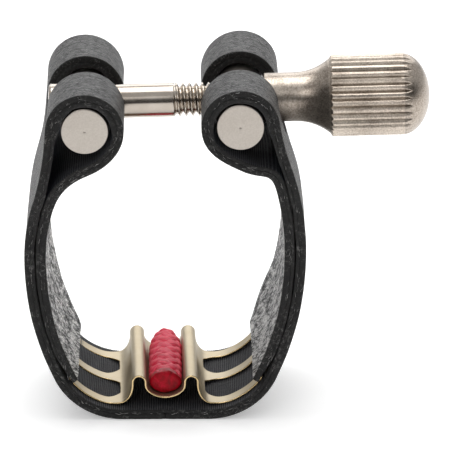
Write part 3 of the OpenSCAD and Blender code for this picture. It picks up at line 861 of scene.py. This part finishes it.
for side in (LEFT, RIGHT):
    path = strip_path(side)
    skin, lining = make_strip(side, path)
    glue_line = make_glue(side, path)
    fibres = make_fibres(side, path)
    for piece, slot_name in ((skin, "leather"), (lining, "textile"), (glue_line, "adhesive"),
                             (fibres, "textile")):
        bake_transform(piece)
    for piece, kind, shared in ((skin, "band_", "band_bottom"), (lining, "lining_", "lining_bottom"),
                                (glue_line, "bond_", "flap_end_bond")):
        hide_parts(*([shared] if side is LEFT else []), kind + side.tag)


# --- Clamp ---
joints = {j["name"]: j for j in frame["joints"]}
stud_dir = -np.array(joints["knob_turn"]["axis"], float)
left_at = np.array(joints["left_swivel"]["pos_m"], float) / MM
right_at = np.array(joints["knob_turn"]["pos_m"], float) / MM
gap = float(np.linalg.norm(right_at - left_at))
knob_face = gap + BARREL_R + 0.04


def drill(obj, depth, r):
    """Drills a hole along the stud's axis, from outside the left loop."""
    rows = [(0, 0), (0, r), (depth, r), (depth, 0)]
    cut_with(obj, spun("cutter", rows, even_turns(64), left_at - stud_dir * DRILL_FROM, stud_dir, [SATIN]))


def make_barrel(name, body, node, at, bore_r, head_r=None):
    """A turned bar along Y with a centre mark on its ends, a cross hole and a seat for the stud's head."""
    low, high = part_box(node)
    front, back = low.y / MM, high.y / MM
    end = [(0.09 * max(0.0, 1 - r / 0.16), r) for r in (0.0, 0.07, 0.14, 0.22, 0.6, 1.1, 1.7, 2.2, 2.55)]
    end += rounded(BARREL_R, BARREL_EDGE)
    straight = back - front - 2 * BARREL_EDGE
    middle = [(front + BARREL_EDGE + straight * k / 30, BARREL_R) for k in range(1, 30)]
    rows = [(front + a, r) for a, r in end] + middle + [(back - a, r) for a, r in end[::-1]]
    obj = spun(name, rows, even_turns(96), (at[0], 0, at[2]), (0, 1, 0), [SATIN])
    drill(obj, 32 + gap, bore_r)
    if head_r:
        drill(obj, DRILL_FROM - HEAD_SEAT, head_r)
    fit(obj, body, node)


def make_stud():
    """Stud with a domed head and a true helical thread."""
    low_end = gap + STUD_PAST_GAP
    rows = [(-HEAD_REACH - 0.12, 0), (-HEAD_REACH - 0.11, 0.6), (-HEAD_REACH - 0.07, 1.3)]
    rows += [(-HEAD_REACH + a, r) for a, r in rounded(HEAD_R, HEAD_EDGE)]
    rows += [(-HEAD_SEAT - 0.12, HEAD_R), (-HEAD_SEAT - 0.02, HEAD_R - 0.1)]
    rows += [(-HEAD_SEAT - 0.02, STUD_R + 0.05)]
    rows += [(-HEAD_SEAT + 0.04, STUD_R)] + [(a, STUD_R) for a in np.arange(-1.5, THREAD_START - 0.3, 0.5)]
    rows += [(a, STUD_R) for a in np.arange(THREAD_START - 0.25, low_end, PITCH / 14)]
    rows += [(low_end + 0.05, STUD_R - 0.45), (low_end + 0.4, STUD_R - 0.8), (low_end + 0.4, 0)]

    def radius(a, turns, r):
        if a < THREAD_START - 0.26 or r < STUD_R - 1e-6:
            return np.full(len(turns), r)
        phase = np.mod(a - THREAD_START - PITCH * turns / TAU, PITCH)
        phase = np.minimum(phase, PITCH - phase)
        cut = np.clip((phase - CREST / 2) / FLANK, 0, 1)
        cut = 0.82 * cut + 0.18 * smooth(cut)
        run_in = np.clip((a - THREAD_START + 0.2) / 0.55, 0, 1)
        return r - THREAD_DEPTH * cut * run_in

    obj = spun("stud", rows, even_turns(80), left_at, stud_dir, [BRIGHT], radius, sharp=32)
    fit(obj, "trunnion", "tension_stud")


def knob_radius(a):
    """Radius of the knob over its crests, at a distance from its neck's face."""
    start = KNURL_R - FLUTE_DEPTH - 0.2
    if a < NECK_L:
        return NECK_R - NECK_EDGE * max(0.0, 1 - a / NECK_EDGE) ** 2
    if a < SHOULDER:
        return NECK_R + (start - NECK_R) * ((a - NECK_L) / FLARE_L) ** 2.4
    if a < SHOULDER + 0.5:
        return start + (KNURL_R - start) * smooth((a - SHOULDER) / 0.5)
    if a < DOME:
        return KNURL_R
    return KNURL_R * math.cos(math.asin(min(1.0, (a - DOME) / DOME_L)))


def make_knob():
    """Thumb nut with a blind bore, and flutes that run out to points at both ends of the grip."""
    root = KNURL_R - FLUTE_DEPTH
    offsets = [FLUTE_HALF * k / 5 for k in range(-5, 6)] + [0.42, 0.5, 0.58]
    turns = np.array([(k + o) * TAU / FLUTES for k in range(FLUTES) for o in offsets])
    rows = [(BORE_L + 0.6, 0)] + [(BORE_L - k, BORE_R) for k in range(15)]
    rows += [(0.25, BORE_R), (0.0, STUD_R + 0.3), (0.0, NECK_R - NECK_EDGE)]
    outer = [0.06, 0.2, 0.6, 1.2, 2.0, 2.8]
    for start, end, step in ((NECK_L, SHOULDER - 0.5, 0.15), (SHOULDER - 0.5, SHOULDER + 0.8, 0.05),
                             (SHOULDER + 0.8, DOME - 0.6, 0.35), (DOME - 0.6, DOME + 0.1, 0.2)):
        outer += list(np.arange(start, end, step))
    outer += [DOME + DOME_L * sind(t) for t in np.arange(4, 89, 2)]
    rows += [(a, knob_radius(a)) for a in outer] + [(DOME + DOME_L, 0)]

    def radius(a, turns, r):
        if r <= STUD_R + 0.35 or a < NECK_L + 1:
            return np.full(len(turns), r)
        phase = np.abs(np.mod(turns * FLUTES / TAU + 0.5, 1) - 0.5)
        return np.minimum(r, root + (FLUTE_DEPTH + 0.03) * phase / FLUTE_HALF)

    # Rows off the grip take the turned nickel, whose darker colour is painted shade.
    off_grip = [int(a < SHOULDER or a > DOME + 0.1) for a, _ in rows[:-1]]
    origin = left_at + stud_dir * knob_face
    obj = spun("knob", rows, turns, origin, stud_dir, [KNOB, KNOB_TURNED_SHADED], radius, off_grip, sharp=28)
    fit(obj, "knob", "thumb_knob")


make_barrel("barrel_left", "trunnion", "left_barrel", left_at, STUD_R + 0.015, HEAD_R + 0.05)
make_barrel("barrel_right", "slider", "right_barrel", right_at, BORE_R)
make_stud()
make_knob()


# --- Reed plate ---
def plate_half_path(side):
    """Middle line of the sheet from the channel's low point to a prong's tip, with unbroken headings."""
    m = PLATE_T / 2
    r = RIDGE_R - m
    top = RIDGE_TOP - m - r
    inner = (RIDGE_X - r, top - RIDGE_STRAIGHT, 90)
    outer = (RIDGE_X + r, top - RIDGE_STRAIGHT, 270)
    foot = (FOOT[0], FOOT[1] + m, FOOT_HEADING)
    lift = PLY + PRONG_GAP + m
    corner_r, corner_turn = side.corner
    land = arc_end((side.flat, 0, 0), corner_r, LAND_TURN)
    out = curve((0, CHANNEL_LOW + m, 0), inner, 1.15, 0.9)
    out += [(RIDGE_X - r * cosd(a), top + r * sind(a), 90 - a) for a in range(0, 181, 6)]
    out += curve(outer, foot, 1.1, 1.0) + curve(foot, inward(land, lift), 1.4, 1.6)[1:]
    tip_turn = corner_turn - side.flap + TIP_TURN - LAND_TURN
    out += [inward(p, lift) for p in arc(land, corner_r, tip_turn)[1:]]
    headings = np.degrees(np.unwrap(np.radians([s[2] for s in out])))
    return [(s[0], s[1], a) for s, a in zip(out, headings)]


def make_plate():
    """Thin sheet with two ridges and a channel, and two windows a side that leave three prongs."""
    left = [(-u, z, -h) for u, z, h in plate_half_path(LEFT)][::-1]
    path = Path(left[:-1] + plate_half_path(RIGHT))
    zero = path.s[np.argmin(np.abs(path.u[1:-1])) + 1]
    low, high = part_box("reed_plate")
    front, back = low.y / MM, high.y / MM
    window_s = {}
    for sign, end in ((-1, 0), (1, path.length)):
        s = np.linspace(zero, end, 6000)
        outside = (np.abs(path.at(s, 0)[0]) >= WINDOW_X[sign]) & (np.abs(s - zero) > 6.0)
        window_s[sign] = s[np.nonzero(outside)[0][0]]
    rows = {r for r in np.linspace(0, path.length, 300) if all(abs(r - s) > 0.9 for s in window_s.values())}
    for way, s in window_s.items():
        rows |= {s + way * WINDOW_R * (1 - cosd(a)) for a in range(0, 91, 9)}
        rows |= {s - way * k for k in (0.15, 0.4, 0.7, 0.88, -0.82)}
    rows = np.array(sorted(rows))

    # The windows open with round corners and widen along the prongs.
    into = np.where(rows < zero, window_s[-1] - rows, rows - window_s[1])
    grow = np.clip(into / WINDOW_SLOPE, 0, 1)
    opened = 0.55 * (1 - corner_inset(into, WINDOW_R) / WINDOW_R)
    inset = np.maximum(0.95 * (1 - smooth(grow)) + 0.55 - opened, 0) * (1 - grow) ** 0.6
    half = PRONG_W / 2
    lines = [np.full(len(rows), front), front + PRONG_W + inset, PRONG_MID - half - inset,
             PRONG_MID + half + inset, back - PRONG_W - inset, np.full(len(rows), back)]
    near = np.clip(1 - np.minimum(np.abs(rows), np.abs(rows - path.length)) / TIP_R, 0, 1)
    tip = TIP_R * (1 - np.sqrt(1 - near**2))
    lines = [line + (tip if k % 2 == 0 else -tip) for k, line in enumerate(lines)]
    S, Y, keep = grid(rows, lines, (10, 8, 10, 8, 10))
    middle = (rows[:-1] + rows[1:]) / 2
    past = (middle < window_s[-1]) | (middle > window_s[1])
    keep[past, 10:18] = False
    keep[past, 28:36] = False

    def place(s, y, depth):
        x, z = path.at(s, depth)
        return np.stack([x - PLATE_LEAN * (y - front), y, z], axis=1)

    h = PLATE_T / 2
    edge = [(h, -0.06), (h - 0.02, -0.02), (h - 0.06, 0), (0, 0.005)]
    edge += [(-depth, outset) for depth, outset in edge[2::-1]]
    obj = shell("plate", S, Y, keep, place, edge, [GILT, GILT_EDGE], back_slot=0, ragged=0.01)
    fit(obj, "base", "reed_plate")


make_plate()


# --- Cord ---
def cord_section(angle, wide, high):
    """Point on the cord's outline: an oval with a crowned top, worn a little flat."""
    up = np.clip(np.sin(angle), 0, 1)
    return wide * np.cos(angle) * (1 - 0.13 * up**2), high * np.sin(angle) * (1 + 0.07 * up**3)


def make_cord():
    """Braided sheath, fused tip, rounded back end, core and the bead of glue in the channel."""
    low, high = (Vector(c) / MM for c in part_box("cord_sheath"))
    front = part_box("cord_front_tip")[0].y / MM
    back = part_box("cord_back_tip")[1].y / MM
    centre = (low + high) / 2
    wide, tall = (high.x - low.x) / 2 + 0.05, (high.z - low.z) / 2 + 0.02
    strand_at = 0.12 - WEAVE - STRAND_T

    def narrow(y):
        """Share of the full width: the back end is rounded in plan."""
        rear = max(0.0, (y - (back - 4.6)) / 4.6)
        return math.sqrt(max(1 - 0.86 * rear**2.2, 0.04))

    def taper(y):
        """Share of the full height: the back end is blunt."""
        rear = max(0.0, (y - (back - 1.7)) / 1.7)
        return math.sqrt(max(1 - 0.9 * rear**2.6, 0.04))

    def drop(y):
        """Height lost by the back end, which lies in the channel."""
        return (1 - taper(y)) * tall * 0.25

    points, faces, uvs = [], [], []

    def strand(way, i):
        """Adds one flat yarn, which goes over and under those that run the other way."""
        ys = np.arange(front + 1.0, back - 0.25, 0.1)
        faces.extend(tube_faces(len(points), len(ys), STRAND_SIDES))
        for y in ys:
            turn = way * TAU * y / LAY + TAU * i / STRANDS + STRAND_PHASE
            k, n = taper(y), narrow(y)
            crown = max(0.0, math.sin(turn)) ** 6
            lift = strand_at + way * WEAVE * math.cos(8 * math.pi * y / LAY) * (1 - 0.55 * crown)
            d = 0.02
            mid, ahead = (np.array(cord_section(t, (wide + lift) * n, (tall + lift) * k))
                          for t in (turn, turn + d))
            step = np.linalg.norm(ahead - mid)
            flat = (ahead - mid) / step
            speed = step / d * way * TAU / LAY
            along = np.array([flat[0] * speed, 1.0, flat[1] * speed])
            along /= np.linalg.norm(along)
            up = np.array([flat[1], 0, -flat[0]])
            cross = np.cross(along, up)
            at = np.array([centre.x + mid[0], y, centre.z + mid[1] - drop(y)])
            half_w = STRAND_HALF_W * (0.3 + 0.7 * min(k, n))
            thick = STRAND_T * (0.35 + 0.65 * min(k, n))
            for q in range(STRAND_SIDES):
                a = TAU * q / STRAND_SIDES
                w = half_w * math.cos(a)
                t = thick * math.copysign(abs(math.sin(a)) ** 0.75, math.sin(a))
                curl = STRAND_CURL * w * w / half_w * (1 - 0.4 * crown)
                ply = 0.018 * math.cos(7 * math.pi * w / half_w + y * 2.0) if t > 0 else 0
                points.append(at + cross * w + up * (t - curl + ply))
                uvs.append((y * 0.01, (i + 0.5 * w) * 0.01))

    for way in (1, -1):
        for i in range(STRANDS):
            strand(way, i)
    sheath = make_object("cord_braid", points, faces, [BRAID], None, uvs, 60)

    def ring_at(y, share, grow=0.0, rough=0.0, count=64):
        """The cord's outline at y, as a share of its size, grown by a length and made uneven."""
        ring = []
        for q in range(count):
            x, z = cord_section(TAU * q / count, (wide + grow) * share * narrow(y),
                                (tall + grow) * share * taper(y))
            coarse, fine = noise.noise((x * 1.3, y * 1.3, z * 1.3)), noise.noise((x * 4, y * 4, z * 4))
            b = rough * (coarse + 0.5 * fine)
            ring.append((centre.x + x * (1 + b), y + b * 0.6, centre.z + z * (1 + b) - drop(y)))
        return ring

    tip_rings = [ring_at(front + 1.75, 0.9), ring_at(front + 1.6, 0.94, 0, 0.03),
                 ring_at(front + 1.3, 1.0, 0, 0.05), ring_at(front + 0.9, 1.0, 0.01, 0.06)]
    for a in range(0, 91, 9):
        tip_rings.append(ring_at(front + 0.55 * (1 - sind(a)), 1 - 0.34 * (1 - cosd(a)) ** 1.3, 0, 0.06))
    for share in (0.6, 0.52, 0.4, 0.28, 0.15, 0.03):
        tip_rings.append(ring_at(front - 0.05 * (1 - share), share, 0, 0.08))
    tip = closed_rings("cord_tip", tip_rings, [FUSED])
    end_rings = [ring_at(back - 1.5, 0.9)]
    end_rings += [ring_at(back - 1.2 + 1.15 * t, math.sqrt(1 - 0.97 * t**4), 0.02, 0.08)
                  for t in np.linspace(0, 1, 12)]
    end = closed_rings("cord_end", end_rings, [BRAID])
    core_rings = [ring_at(y, 1.0, -WEAVE - 0.75 * STRAND_T, 0, 40)
                  for y in np.linspace(front + 0.8, back - 0.9, 40)]
    core = closed_rings("cord_core_yarn", core_rings, [BRAID])
    bead_rings = []
    bead_z = CHANNEL_LOW + PLATE_T + 0.05
    for y in np.linspace(front + 1.6, back - 1.6, 60):
        w = 0.42 + 0.1 * noise.noise((y, 3.0, 1.0))
        bead_rings.append([(w * cosd(a), y, bead_z + 0.06 * sind(a)) for a in range(0, 360, 30)])
    bead = closed_rings("cord_glue", bead_rings, [GLUE])
    for piece, node, slot_name in ((sheath, "cord_sheath", "braid"), (tip, "cord_front_tip", "fused_cord"),
                                   (end, "cord_back_tip", "fused_cord"), (core, "cord_core", "core_yarn"),
                                   (bead, "cord_bond", "adhesive")):
        fit(piece, "base", node)


make_cord()


# --- Stage ---
def make_stage():
    """A plain pale floor just under the object."""
    m = Material("floor", Roughness=0.75, Specular_IOR_Level=0.25, Emission_Color=(1, 1, 1, 1),
                 Emission_Strength=0.34)
    m.finish(m.mix(m.noise(m.space(3), 1.0, 2, 0.5), (0.86, 0.86, 0.86), (0.88, 0.88, 0.88)))
    mesh = bpy.data.meshes.new("floor")
    size, z = 2.5, -0.00002
    corners = [(-size, -size, z), (size, -size, z), (size, size, z), (-size, size, z)]
    mesh.from_pydata(corners, [], [(0, 1, 2, 3)])
    mesh.materials.append(m.mat)
    add_object("floor", mesh)


def area_light(name, at, target, size, power):
    data = bpy.data.lights.new(name, "AREA")
    data.shape = "RECTANGLE"
    data.size, data.size_y = size
    data.energy = power
    obj = add_object(name, data)
    obj.location = at
    obj.rotation_euler = (Vector(target) - Vector(at)).to_track_quat("-Z", "Y").to_euler()


def make_world():
    """A soft pale room: bright overhead and behind, darker low down at the front."""
    world = bpy.data.worlds.new("room")
    world.use_nodes = True
    bpy.context.scene.world = world
    room = Nodes(world.node_tree)
    coords = room.node("TexCoord", {}).outputs["Generated"]
    place = room.node("SeparateXYZ", {"Vector": coords}).outputs
    height = room.node("Math", {0: place["Z"], 1: 0.5, 2: 0.5}, operation="MULTIPLY_ADD").outputs["Value"]
    shade = room.ramp(height, ((0.0, 0.55), (0.46, 0.10), (0.70, 0.12), (0.80, 0.95), (1.0, 1.0)))
    colour = room.mix(room.span(place["Y"], -0.25, 0.35, 0, 1), shade, (0.95, 0.95, 0.95))
    background = room.tree.nodes["Background"]
    room.put(background, "Color", colour)
    room.put(background, "Strength", 0.6)


def make_camera():
    """A long lens a little above the object, as in a product photograph."""
    pitch, yaw, distance = 20, 0.5, 0.55
    centre = (cad_low + cad_high) / 2
    aim = Vector((centre.x - 0.25 * MM, 0, centre.z - 0.1 * MM))
    ahead = Vector((sind(yaw) * cosd(pitch), cosd(yaw) * cosd(pitch), -sind(pitch)))
    data = bpy.data.cameras.new("camera")
    data.lens, data.sensor_width = 358.4, 36
    data.clip_start, data.clip_end = 0.01, 20
    cam = add_object("camera", data)
    cam.location = aim - ahead * distance
    cam.rotation_euler = ahead.to_track_quat("-Z", "Y").to_euler()
    bpy.context.scene.camera = cam


make_stage()
make_world()
middle = (cad_low + cad_high) / 2
area_light("overhead", (0.0, 0.12, 0.62), middle, (0.55, 0.45), 2.4)
area_light("front", (-0.25, -0.55, 0.42), middle, (0.4, 0.3), 0.7)
area_light("back", (0.05, 0.6, 0.35), middle, (0.7, 0.4), 1.6)
make_camera()
bpy.context.scene.view_settings.view_transform = "Standard"
